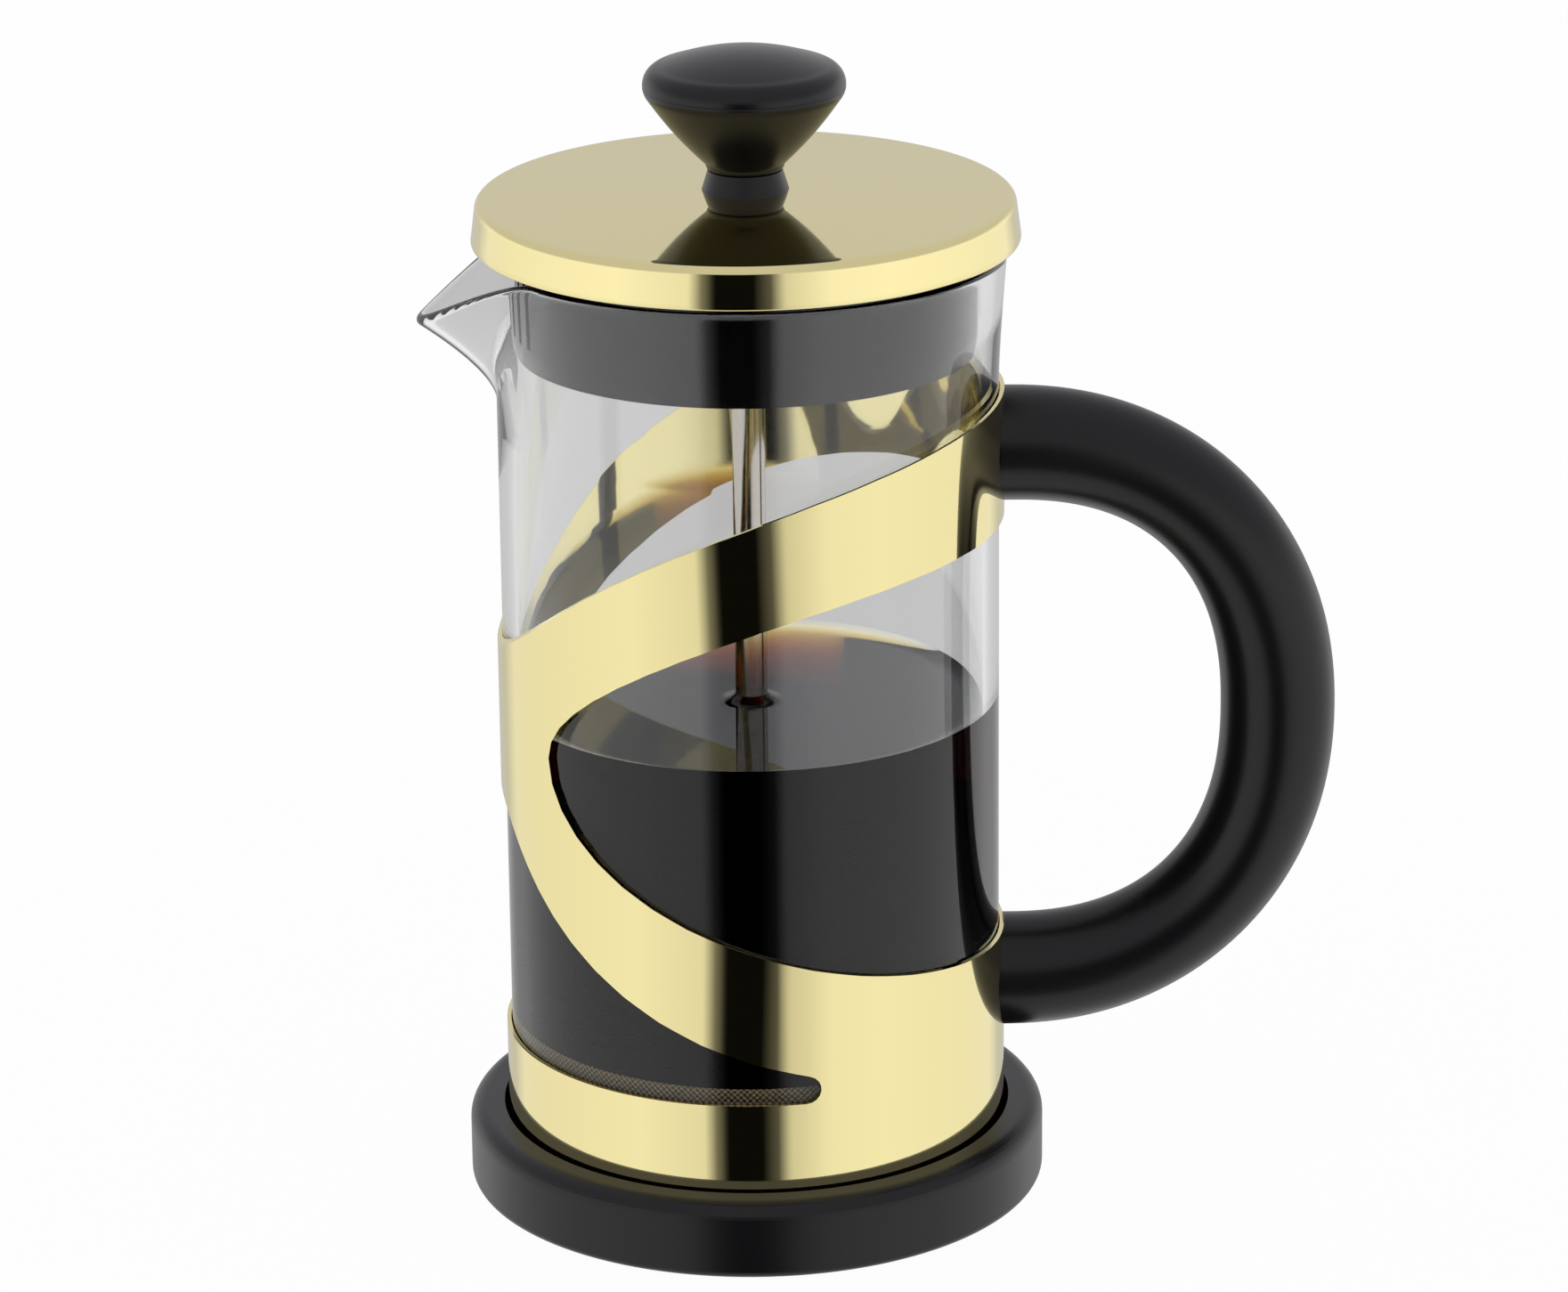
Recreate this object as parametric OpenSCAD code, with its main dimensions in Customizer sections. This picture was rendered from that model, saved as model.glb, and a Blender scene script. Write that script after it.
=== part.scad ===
// French press with a glass beaker in a pierced sheet-metal stand.
// Origin: on the table, on the beaker's axis. +Z is up, +X points to the handle, -X to the spout.

/* [Beaker] */
// Outer diameter of the beaker's straight wall
beaker_d = 72; // [66:0.5:84]
// Thickness of the glass
glass_wall = 2; // [1.6:0.1:2.6]
// Height of the beaker from its foot to its rim
beaker_h = 139.2; // [134:0.2:160]
// Radius of the round corner between the beaker's wall and its foot
beaker_corner_r = 7; // [5:0.5:9]
// How far the rim stands out from the straight wall
rim_flare = 2; // [1:0.1:2.4]
// Height of the stretch over which the wall flares out to the rim
flare_h = 22; // [14:1:26]
// Distance from the spout's tip to the straight wall
spout_reach = 11.8; // [8:0.2:14]
// Height from the spout's tip up to the rim
spout_drop = 12.8; // [10:0.2:15]
// Height from the foot of the spout up to the rim
spout_h = 24.4; // [22:0.2:28]
// Radius of the spout's nose
spout_nose_r = 3.2; // [2.8:0.1:4.2]
// Angle between the middle of the spout and each of its shoulders
spout_half_angle = 29; // [22:1:34]

/* [Base] */
// Width of the base's top face outside the groove around the stand
base_lip = 5.1; // [4.6:0.1:14]
// Height of the base's top face above the table
base_h = 12; // [11:0.2:16]
// Height at which the base carries the beaker
beaker_seat_z = 7.4; // [7.2:0.1:9]
// Height of that seat above the floor on which the stand's flange lies
seat_step = 2.2; // [2:0.1:2.6]
// Radius of the round edge on top of the base
base_edge_r = 2.6; // [1:0.1:3.5]
// Thickness of the soft pad under the base
pad_t = 1.6; // [1.2:0.1:2]
// How far the pad stands out below the base
pad_proud = 0.6; // [0.3:0.1:0.9]
// Width of the base's underside outside the pad
pad_margin = 4.2; // [3:0.1:6]
// Width of the visible groove between the stand's wall and the base
base_groove = 0.7; // [0.3:0.1:1.5]

/* [Stand] */
// Thickness of the stand's sheet metal
sheet_t = 0.6; // [0.5:0.1:0.9]
// Radial play between the beaker and the stand
beaker_play = 0.6; // [0.4:0.1:1]
// Width of the flange turned in at the foot of the stand
flange_w = 6.4; // [5.6:0.1:7.4]
// Height of the stand's upper edge at the handle
stand_top_z = 123; // [121:0.5:128]
// Height of the stand's upper edge at the spout
hub_top_z = 84; // [80:0.5:90]
// Height of the lower edge of the hub at the spout
hub_bottom_z = 64; // [58:0.5:68]
// Width of the upper band at the handle
band_w = 19; // [18:0.5:23]
// Height of the upper edge of the lower shell at the handle
shell_top_z = 40.4; // [38:0.2:46]
// Height of the tip of the large window
window_tip_z = 74; // [71:0.5:77]
// Distance from the axis to the tip of the large window
window_tip_x = 29.4; // [27:0.2:31]
// Height of the upper edge of the ring below the crescent
ring_top_z = 25.3; // [22:0.1:28]
// Width of the crescent at its tips
crescent_tip_w = 4.3; // [3:0.1:5]
// Distance from the axis to the tips of the crescent, towards the handle
crescent_tip_x = 9.4; // [5:0.2:12]

/* [Handle] */
// Diameter of the round handle
handle_d = 16.8; // [14:0.2:18.4]
// Distance from the axis to the outside of the handle
handle_reach = 86; // [80:0.5:100]
// Distance from the stand's upper edge down to the middle of the handle's upper arm
handle_drop = 9.2; // [8.6:0.2:10.4]
// Height of the middle of the handle's lower arm
handle_low_z = 31.6; // [29:0.2:32]
// Bend radius of the handle, at the middle of its tube
handle_bend_r = 36.4; // [30:0.2:39]

/* [Lid] */
// How far the edge of the lid's top stands out beyond the beaker's rim
lid_overhang = 1; // [0.8:0.1:3]
// How much the lid's side flares out towards its lower edge
lid_flare = 0.6; // [0:0.1:1]
// Height of the lid's side
lid_side_h = 6; // [5.6:0.1:6.2]
// Height of the dome of the lid's top
lid_dome_h = 1.05; // [0.6:0.05:1.6]
// Radius of the lid's upper edge
lid_edge_r = 1.2; // [1:0.1:1.6]
// Thickness of the lid's sheet metal
lid_sheet_t = 0.5; // [0.4:0.1:0.7]
// Depth of the liner's skirt below the rim of the beaker
skirt_depth = 17; // [14:0.2:20]
// Thickness of the liner's skirt
skirt_t = 1.8; // [1.4:0.1:2.2]
// Thickness of the liner's top plate
liner_plate_t = 1.8; // [1.4:0.1:2]
// Width of each strainer slot in the skirt
slot_w = 1.3; // [1:0.1:1.6]
// Angle from one strainer slot to the next
slot_pitch = 6; // [5:0.5:7]
// Number of strainer slots
slot_count = 9; // [5:2:11]
// Height of the solid lip below the strainer slots
slot_lip_h = 3.1; // [2:0.1:4]

/* [Collar] */
// Diameter of the collar where it sits on the lid
collar_d = 12.6; // [11.6:0.2:14]
// Diameter of the collar's upper end
collar_top_d = 10.8; // [9.6:0.2:11.4]
// Height of the collar above the lid
collar_h = 2.95; // [2:0.05:4]
// Diameter of the collar's threaded stem
collar_stem_d = 8; // [7.4:0.2:8.6]
// Size of the lid nut across its flats
lid_nut_af = 13; // [11.5:0.5:15]
// Height of the lid nut
lid_nut_h = 3; // [2.4:0.1:4]

/* [Plunger] */
// Diameter of the plunger rod
rod_d = 4.8; // [4:0.1:5.2]
// Diameter of the knob
knob_d = 29.2; // [26:0.2:32]
// Diameter of the knob's lower end
knob_neck_d = 11.4; // [10:0.2:12]
// Height of the knob
knob_h = 17.6; // [16:0.2:20]
// Height of the knob's widest ring above its lower end
knob_ring_z = 12.4; // [11:0.2:13]
// Height of the knob's dome above its round edge
knob_dome_h = 2.3; // [1.5:0.1:3]
// Diameter of the brass insert in the knob
knob_insert_d = 7.2; // [6.6:0.2:8]
// Length of the brass insert in the knob
knob_insert_h = 10; // [8:0.5:11]
// Height of the underside of the filter's mesh with the plunger down
mesh_z = 22.4; // [20:0.2:26]
// Height of the mesh's turned-up edge
mesh_rim_h = 4.5; // [4:0.1:5.5]
// Thickness of the mesh
mesh_t = 0.3; // [0.2:0.05:0.4]
// Radial play between the filter and the beaker
filter_play = 0.3; // [0.2:0.05:0.5]
// Thickness of the spring wire's coil at the filter's edge
coil_d = 3.2; // [2.6:0.1:3.6]
// Thickness of the two filter plates
plate_t = 0.6; // [0.5:0.1:0.9]
// Width of the part of the mesh outside the cross plate
cross_plate_margin = 3.2; // [2.4:0.1:5]
// Diameter of the hub nut below the filter
hub_nut_d = 10; // [9:0.2:12]
// Height of the hub nut
hub_nut_h = 4; // [3:0.2:6]
// Diameter of the shoulder on the rod above the filter
shoulder_d = 8.4; // [7:0.2:10]
// Height of the shoulder on the rod
shoulder_h = 1.2; // [0.8:0.1:2]

/* [Fasteners] */
// Diameter of the handle screws' thread
handle_screw_d = 4; // [3.5:0.1:4.2]
// Diameter of the handle screws' countersunk head
handle_screw_head_d = 7.2; // [6.8:0.1:7.6]
// Length of the handle screws
handle_screw_l = 14; // [11:0.5:18]
// Diameter of the brass inserts in the handle
handle_insert_d = 6.2; // [5.6:0.2:8]
// Length of the brass inserts in the handle
handle_insert_l = 10; // [8:0.5:13]
// Diameter of the base screws' thread
base_screw_d = 2.9; // [2.4:0.1:3]
// Diameter of the base screws' head
base_screw_head_d = 5.6; // [5:0.1:6]
// Height of the base screws' head
base_screw_head_h = 2; // [1.6:0.1:2.2]
// Number of base screws
base_screw_count = 3; // [3:1:6]

/* [Hidden] */
$fn = 96;

// Clearances
seat_gap = 0.05;   // between curved faces of one body that seat on each other
thread_gap = 0.2;  // around screws that pass through a hole
turn_gap = 0.1;    // around the collar's stem, on which the lid turns
slide_gap = 0.1;   // around the rod, which slides in the collar
flange_play = 0.7; // between the stand's flange and the seat inside it
boss_gap = 0.2;    // between the flange's bosses and the beaker's foot

// Walls around the base screws
screw_floor_t = 1.4;
boss_wall = 0.75;

// Heights and radii of the beaker
beaker_r = beaker_d / 2;
beaker_inner_r = beaker_r - glass_wall;
rim_z = beaker_seat_z + beaker_h;
rim_r = beaker_r + rim_flare;
spout_tip_x = -(beaker_r + spout_reach);
spout_tip_z = rim_z - spout_drop;
spout_foot_z = rim_z - spout_h;

// Radii and heights of the stand and base
stand_inner_r = beaker_r + beaker_play;
stand_r = stand_inner_r + sheet_t;
flange_inner_r = stand_inner_r - flange_w;
floor_z = beaker_seat_z - seat_step;
plateau_r = flange_inner_r - flange_play;
groove_r = stand_r + base_groove;
band_bottom_z = stand_top_z - band_w;
handle_top_z = stand_top_z - handle_drop;
base_r = groove_r + base_lip;
pad_r = base_r - pad_margin;
screw_circle_r = flange_inner_r + flange_w * 0.46;
screw_head_z = floor_z - screw_floor_t;
boss_top_z = beaker_seat_z - boss_gap;

// Countersunk handle screws: 90 degree heads in dimples pressed into the sheet
head_r = handle_screw_head_d / 2;
shank_r = handle_screw_d / 2;
head_x = stand_inner_r - 0.1;
head_depth = head_r - shank_r;
dimple_depth = head_depth + seat_gap;

// Lid
lid_r = rim_r + lid_overhang;
plate_bottom_z = rim_z + 2.3;
plate_top_z = plate_bottom_z + liner_plate_t;
shell_edge_z = plate_top_z + 0.1 + lid_sheet_t;
shell_top_pad_z = shell_edge_z + lid_dome_h;
shell_pad_r = collar_d / 2 + 1.7;
skirt_r = beaker_inner_r - 0.6;
skirt_bottom_z = rim_z - skirt_depth;
stem_r = collar_stem_d / 2;
collar_top_z = shell_top_pad_z + collar_h;
nut_top_z = plate_bottom_z;
stem_bottom_z = nut_top_z - lid_nut_h - 1.9;

// Plunger
rod_r = rod_d / 2;
knob_z = collar_top_z;
knob_top_z = knob_z + knob_h;
insert_z = knob_z + 1.6;
rod_top_z = insert_z + knob_insert_h;
mesh_r = beaker_inner_r - filter_play;
coil_r = coil_d / 2;
coil_ring_r = mesh_r - mesh_t - 0.2 - coil_r;
spiral_plate_z = mesh_z + mesh_t;
spiral_plate_r = coil_ring_r - coil_r - 0.15;
cross_plate_z = mesh_z - plate_t;
cross_plate_r = mesh_r - cross_plate_margin;
hub_nut_z = cross_plate_z - hub_nut_h;
rod_bottom_z = hub_nut_z + 0.4;
shoulder_z = spiral_plate_z + plate_t;

// Colours
GOLD = "#e3cd7c";
BLACK = "#26262a";
STEEL = "#b9bcc0";
BRASS = "#b5924a";
GLASS = [0.82, 0.88, 0.88, 0.35];

// Points of a cubic Bezier curve through a, led by b and c, to d
function bezier(a, b, c, d, n = 14) = [
    for (i = [0 : n])
    let (t = i / n, s = 1 - t)
    s * s * s * a + 3 * s * s * t * b + 3 * s * t * t * c + t * t * t * d
];

// Points of an arc about c, from angle a0 to angle a1
function arc(c, r, a0, a1, n = 8) = [
    for (i = [0 : n])
    let (a = a0 + (a1 - a0) * i / n)
    c + r * [cos(a), sin(a)]
];

// Outer radius of the beaker's wall at height z, flaring towards the rim
function wall_r(z) =
    let (s = max(0, (z - (rim_z - flare_h)) / flare_h))
    beaker_r + rim_flare * pow(s, 1.35);

// Height between two heights of the stand's outline
function blend(z0, z1, share) = z0 + (z1 - z0) * share;

// ---------- base ----------

module grip_pad() {
    color("#3a3a3c")
    cylinder(r = pad_r - 0.3, h = pad_t);
}

// Round base with a recess below for the pad and one above for the stand and beaker
module base_profile() {
    foot_r = 1.2;
    polygon(concat(
        [[0, pad_proud]],
        arc([base_r - foot_r, pad_proud + foot_r], foot_r, -90, 0),
        arc([base_r - base_edge_r, base_h - base_edge_r], base_edge_r, 0, 90),
        [[groove_r, base_h], [groove_r, floor_z], [plateau_r, floor_z],
         [plateau_r, beaker_seat_z], [0, beaker_seat_z]]
    ));
}

// Repeats its children at the places of the base screws
module at_base_screws() {
    for (i = [0 : base_screw_count - 1])
        rotate(180 + i * 360 / base_screw_count)
            translate([screw_circle_r, 0, 0])
                children();
}

module base() {
    color(BLACK)
    difference() {
        rotate_extrude() base_profile();
        translate([0, 0, pad_proud - 1])
            cylinder(r = pad_r, h = pad_t - pad_proud + 1);
        at_base_screws() {
            cylinder(r = base_screw_d / 2 + thread_gap, h = base_h);
            cylinder(r = base_screw_head_d / 2 + thread_gap, h = screw_head_z);
        }
    }
}

// Pan-head screws that hold the stand's flange down on the base
module base_screws() {
    color(STEEL)
    at_base_screws() {
        translate([0, 0, screw_head_z])
            cylinder(r = base_screw_d / 2, h = boss_top_z + boss_gap / 2 - screw_head_z);
        difference() {
            translate([0, 0, screw_head_z - base_screw_head_h])
                cylinder(d1 = base_screw_head_d * 0.8, d2 = base_screw_head_d, h = base_screw_head_h);
            translate([0, 0, screw_head_z - base_screw_head_h])
                cross_slot(base_screw_head_d * 0.55, base_screw_head_d * 0.14, base_screw_head_h * 0.55);
        }
    }
}

// Cross recess of a screw, open downwards
module cross_slot(length, width, depth) {
    for (a = [0, 90])
        rotate(a)
            translate([-length / 2, -width / 2, -1])
                cube([length, width, depth + 1]);
}

// ---------- stand ----------

// Side outline of everything above the stand's upper edge
module above_upper_edge() {
    x = stand_r + 1;
    far = stand_r + 10;
    polygon(concat(
        bezier([-x, hub_top_z],
               [-0.684 * x, blend(hub_top_z, stand_top_z, 0.41)],
               [-0.4 * x, blend(hub_top_z, stand_top_z, 0.728)],
               [x, stand_top_z]),
        [[far, stand_top_z], [far, stand_top_z + 30], [-far, stand_top_z + 30], [-far, hub_top_z]]
    ));
}

// Side outline of the large window, a teardrop that is open towards the handle
module window_outline() {
    x = stand_r + 1;
    far = stand_r + 10;
    tip = [-window_tip_x, window_tip_z];
    upper = bezier(tip, tip + [0, 12], [0, blend(window_tip_z, band_bottom_z, 0.953)], [x, band_bottom_z]);
    lower = bezier([x, shell_top_z - 1], [0.7, blend(window_tip_z, shell_top_z, 0.84)], tip - [0, 18], tip);
    polygon(concat(upper, [[far, band_bottom_z], [far, shell_top_z - 1]], lower));
}

// Side outline of the crescent that opens the stand below the hub
module crescent_outline() {
    x = stand_r + 1;
    far = stand_r + 10;
    tip_r = crescent_tip_w / 2;
    tip = [crescent_tip_x - tip_r, ring_top_z + tip_r];
    polygon(concat(
        [[-far, ring_top_z]],
        arc(tip, tip_r, -90, 76),
        bezier(tip + tip_r * [cos(76), sin(76)],
               [-0.907 * x, blend(ring_top_z, hub_bottom_z, 0.38)],
               [-0.872 * x, blend(ring_top_z, hub_bottom_z, 0.938)],
               [-x, hub_bottom_z]),
        [[-far, hub_bottom_z]]
    ));
}

// Cuts a side outline through both walls of the stand
module cut_through() {
    rotate([90, 0, 0])
        linear_extrude(4 * stand_r, center = true)
            children();
}

// Solid of revolution about a screw's axis, which points along +X at height z
module along_x(x, z) {
    translate([x, 0, z]) rotate([0, 90, 0]) children();
}

// Outside of a dimple pressed outwards in the sheet
module dimple_outside(z) {
    along_x(stand_inner_r, z)
        cylinder(r1 = head_r + sheet_t, r2 = shank_r + sheet_t, h = dimple_depth + sheet_t);
}

// Inside of a dimple, with the screw's hole
module dimple_inside(z) {
    along_x(head_x, z) {
        cylinder(r1 = head_r + seat_gap, r2 = shank_r + seat_gap, h = head_depth);
        cylinder(r = shank_r + thread_gap, h = dimple_depth + 3);
    }
    along_x(head_x - 2, z) cylinder(r = head_r + seat_gap, h = 2);
}

// Rolled sheet with its foot flange, pierced from the side so that front and back match
module frame() {
    bend_r = 1;
    color(GOLD)
    difference() {
        union() {
            rotate_extrude()
                polygon(concat(
                    [[flange_inner_r, floor_z]],
                    arc([stand_r - bend_r, floor_z + bend_r], bend_r, -90, 0, 4),
                    [[stand_r, stand_top_z + 1], [stand_inner_r, stand_top_z + 1],
                     [stand_inner_r, floor_z + sheet_t], [flange_inner_r, floor_z + sheet_t]]
                ));
            at_base_screws()
                translate([0, 0, floor_z])
                    cylinder(r = base_screw_d / 2 + boss_wall, h = boss_top_z - floor_z);
            dimple_outside(handle_top_z);
            dimple_outside(handle_low_z);
        }
        cut_through() above_upper_edge();
        cut_through() window_outline();
        cut_through() crescent_outline();
        dimple_inside(handle_top_z);
        dimple_inside(handle_low_z);
        at_base_screws() cylinder(r = base_screw_d / 2, h = base_h);
    }
}

// ---------- handle ----------

// One straight arm of the handle, from the stand's axis to the bend
module handle_arm(z) {
    along_x(0, z) cylinder(d = handle_d, h = handle_reach - handle_d / 2 - handle_bend_r);
}

// A quarter bend of the handle's tube, turned up (side = 1) or down (side = -1)
module handle_bend(z, side) {
    translate([handle_reach - handle_d / 2 - handle_bend_r, 0, z - side * handle_bend_r])
        rotate([side * 90, 0, 0])
            rotate_extrude(angle = 90)
                translate([handle_bend_r, 0])
                    circle(d = handle_d);
}

// Hole and countersink at the end of an arm, for its screw and insert
module handle_socket(z) {
    wall = sheet_t + seat_gap;
    along_x(stand_inner_r, z)
        cylinder(r1 = head_r + wall, r2 = shank_r + wall, h = dimple_depth + sheet_t);
    along_x(stand_inner_r, z)
        cylinder(r = handle_insert_d / 2, h = dimple_depth + sheet_t + seat_gap + handle_insert_l);
    along_x(stand_inner_r, z)
        cylinder(r = shank_r + thread_gap, h = handle_screw_l + 2);
}

module handle() {
    bend_top = handle_top_z - handle_bend_r;
    bend_low = handle_low_z + handle_bend_r;
    color(BLACK)
    difference() {
        union() {
            handle_arm(handle_top_z);
            handle_arm(handle_low_z);
            handle_bend(handle_top_z, 1);
            handle_bend(handle_low_z, -1);
            translate([handle_reach - handle_d / 2, 0, bend_low])
                cylinder(d = handle_d, h = bend_top - bend_low);
        }
        cylinder(r = stand_r + seat_gap, h = rim_z);
        handle_socket(handle_top_z);
        handle_socket(handle_low_z);
    }
}

// Countersunk screw from inside the stand into the handle
module handle_screw(z) {
    color(STEEL)
    difference() {
        union() {
            along_x(head_x, z) cylinder(r1 = head_r, r2 = shank_r, h = head_depth);
            along_x(head_x, z) cylinder(r = shank_r, h = handle_screw_l);
        }
        along_x(head_x, z) rotate(45) cross_slot(head_r, head_r / 4, head_r * 0.3);
    }
}

// Threaded brass insert moulded into the end of an arm
module handle_insert(z) {
    color(BRASS)
    along_x(stand_inner_r + dimple_depth + sheet_t + seat_gap, z)
        difference() {
            cylinder(r = handle_insert_d / 2, h = handle_insert_l);
            translate([0, 0, -1]) cylinder(r = shank_r, h = handle_insert_l + 2);
        }
}

// ---------- beaker ----------

// Outside of the beaker, from its foot to its fire-polished rim
function beaker_outside() = concat(
    [[0, beaker_seat_z]],
    arc([beaker_r - beaker_corner_r, beaker_seat_z + beaker_corner_r], beaker_corner_r, -90, 0),
    [for (i = [0 : 7]) let (z = rim_z - flare_h + (flare_h - 0.8) * i / 7) [wall_r(z), z]]
);

// Inside of the beaker, from its rim down to its floor
function beaker_inside() =
    let (r = beaker_corner_r - glass_wall, floor_top = beaker_seat_z + glass_wall + 0.4)
    concat(
        [for (i = [7 : -1 : 0])
            let (z = rim_z - flare_h + (flare_h - 0.8) * i / 7) [wall_r(z) - glass_wall, z]],
        arc([beaker_inner_r - r, floor_top + r], r, 0, -90),
        [[0, floor_top]]
    );

// Rounded top of the rim, from outside to inside, with a narrow flat for the lid
function rim_round() =
    concat(
        arc([rim_r - 0.85, rim_z - 0.7], 0.7, 0, 90, 4),
        arc([rim_r - glass_wall + 0.75, rim_z - 0.7], 0.7, 90, 180, 4)
    );

// Hull from the nose of the spout back to its shoulders and down to its foot;
// inset gives the channel inside, which also opens the beaker's wall
module spout_body(inset) {
    back_r = beaker_r - 2 - 1.5 * inset;
    nose_r = spout_nose_r - inset;
    nose_x = spout_tip_x + spout_nose_r;
    nose_z = spout_tip_z + 0.6 + inset * 0.6;
    above = rim_z + 12 * inset;
    hull() {
        translate([nose_x, 0, nose_z]) sphere(r = nose_r, $fn = 32);
        translate([nose_x, 0, nose_z]) cylinder(r = nose_r, h = above - nose_z, $fn = 32);
        for (side = [-1, 1])
            rotate(180 + side * (spout_half_angle - inset))
                translate([back_r, 0, rim_z - 4])
                    cylinder(r = 1.2, h = above - rim_z + 4, $fn = 24);
        translate([-back_r, 0, spout_foot_z + 2.4 * inset]) sphere(r = 1.2, $fn = 24);
    }
}

// Everything above the sloping lip of the spout
module above_lip() {
    x0 = -(beaker_r - 2.4);
    cut_through()
        polygon([[x0, rim_z], [spout_tip_x - 1, spout_tip_z - 0.6],
                 [spout_tip_x - 1, rim_z + 40], [x0, rim_z + 40]]);
}

module glass_beaker() {
    color(GLASS)
    difference() {
        union() {
            rotate_extrude()
                polygon(concat(beaker_outside(), rim_round(), [[0, rim_z]]));
            spout_body(0);
        }
        rotate_extrude()
            polygon(concat([[0, rim_z + 1], [rim_r - glass_wall, rim_z + 1]], beaker_inside()));
        spout_body(1.7);
        above_lip();
    }
}

// ---------- lid ----------

// Section of the lid's sheet, from its pad on the axis to its lower edge
function lid_section(inset) =
    let (z = shell_edge_z - inset, r = lid_edge_r - inset)
    concat(
        [[0, shell_top_pad_z - inset], [shell_pad_r, shell_top_pad_z - inset]],
        [for (i = [1 : 6]) let (s = i / 6)
            [shell_pad_r + (lid_r - lid_edge_r - shell_pad_r) * s, z + lid_dome_h * (1 - s * s)]],
        arc([lid_r - lid_edge_r, shell_edge_z - lid_edge_r], r, 80, 0, 5),
        [[lid_r + lid_flare - inset, shell_edge_z - lid_side_h]]
    );

module lid_shell() {
    color(GOLD)
    difference() {
        rotate_extrude()
            difference() {
                polygon(concat(lid_section(0), [[0, shell_edge_z - lid_side_h]]));
                polygon(concat(lid_section(lid_sheet_t), [[lid_r + lid_flare - lid_sheet_t, 0], [0, 0]]));
            }
        cylinder(r = stem_r + turn_gap, h = shell_top_pad_z + 1);
    }
}

// Plastic liner: plate under the lid, rim that rests on the beaker, skirt with its strainer
module lid_liner() {
    flange_r = lid_r - lid_sheet_t - 0.3;
    color(BLACK)
    difference() {
        rotate_extrude()
            polygon([
                [stem_r + turn_gap, plate_bottom_z], [skirt_r - skirt_t, plate_bottom_z],
                [skirt_r - skirt_t, skirt_bottom_z], [skirt_r, skirt_bottom_z],
                [skirt_r, plate_bottom_z], [rim_r - glass_wall - 0.4, plate_bottom_z],
                [rim_r - glass_wall - 0.4, rim_z], [flange_r, rim_z],
                [flange_r, plate_top_z - 1], [flange_r - 1, plate_top_z],
                [shell_pad_r, plate_top_z], [shell_pad_r, shell_top_pad_z - lid_sheet_t],
                [stem_r + turn_gap, shell_top_pad_z - lid_sheet_t]
            ]);
        strainer_slots();
    }
}

// Upright slots through the skirt, on the spout's side
module strainer_slots() {
    slot_z = skirt_bottom_z + slot_lip_h;
    for (i = [0 : slot_count - 1])
        rotate(180 + (i - (slot_count - 1) / 2) * slot_pitch)
            translate([skirt_r - skirt_t - 1, -slot_w / 2, slot_z])
                cube([skirt_t + 2, slot_w, plate_bottom_z - 2 - slot_z]);
}

// Collar on which the lid turns and in which the rod slides
module lid_collar() {
    color(BLACK)
    difference() {
        union() {
            translate([0, 0, shell_top_pad_z])
                cylinder(d1 = collar_d, d2 = collar_top_d, h = collar_h);
            translate([0, 0, stem_bottom_z])
                cylinder(r = stem_r, h = shell_top_pad_z - stem_bottom_z + 1);
        }
        cylinder(r = rod_r + slide_gap, h = collar_top_z + 1);
    }
}

module lid_nut() {
    color(STEEL)
    translate([0, 0, nut_top_z - lid_nut_h])
        difference() {
            cylinder(r = lid_nut_af / sqrt(3), h = lid_nut_h, $fn = 6);
            translate([0, 0, -1]) cylinder(r = stem_r, h = lid_nut_h + 2);
        }
}

// ---------- plunger ----------

module plunger_rod() {
    color(STEEL) {
        translate([0, 0, rod_bottom_z]) cylinder(r = rod_r, h = rod_top_z - rod_bottom_z);
        translate([0, 0, shoulder_z]) cylinder(d = shoulder_d, h = shoulder_h);
    }
}

// Cone below, rounded edge and shallow dome above
module knob() {
    r = knob_d / 2;
    neck = knob_neck_d / 2;
    edge_r = 2.8;
    edge_z = knob_z + knob_ring_z;
    dome_z = knob_top_z - knob_dome_h;
    dome_r = r - 2.4;
    color(BLACK)
    difference() {
        rotate_extrude()
            polygon(concat(
                [[0, knob_z], [neck - 1.1, knob_z], [neck - 1.1, knob_z + 0.5], [neck - 0.3, knob_z + 0.5],
                 [neck, knob_z + 0.9]],
                arc([r - edge_r, edge_z], edge_r, -38, 0, 4),
                bezier([r, edge_z], [r, edge_z + 1.5], [dome_r + 1.4, dome_z - 0.2], [dome_r, dome_z], 5),
                [for (i = [1 : 6]) let (s = 1 - i / 6) [dome_r * s, dome_z + knob_dome_h * (1 - s * s)]]
            ));
        translate([0, 0, knob_z - 1]) cylinder(r = rod_r + thread_gap, h = knob_h / 2);
        translate([0, 0, insert_z]) cylinder(d = knob_insert_d, h = knob_insert_h);
    }
}

module knob_insert() {
    color(BRASS)
    translate([0, 0, insert_z])
        difference() {
            cylinder(d = knob_insert_d, h = knob_insert_h);
            translate([0, 0, -1]) cylinder(r = rod_r, h = knob_insert_h + 2);
        }
}

// Ring of holes, each of radius hole_r, on a circle of radius ring_r
module hole_ring(count, ring_r, hole_r, z, phase = 0) {
    for (i = [0 : count - 1])
        rotate(phase + i * 360 / count)
            translate([ring_r, 0, z - 1])
                cylinder(r = hole_r, h = 4);
}

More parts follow.
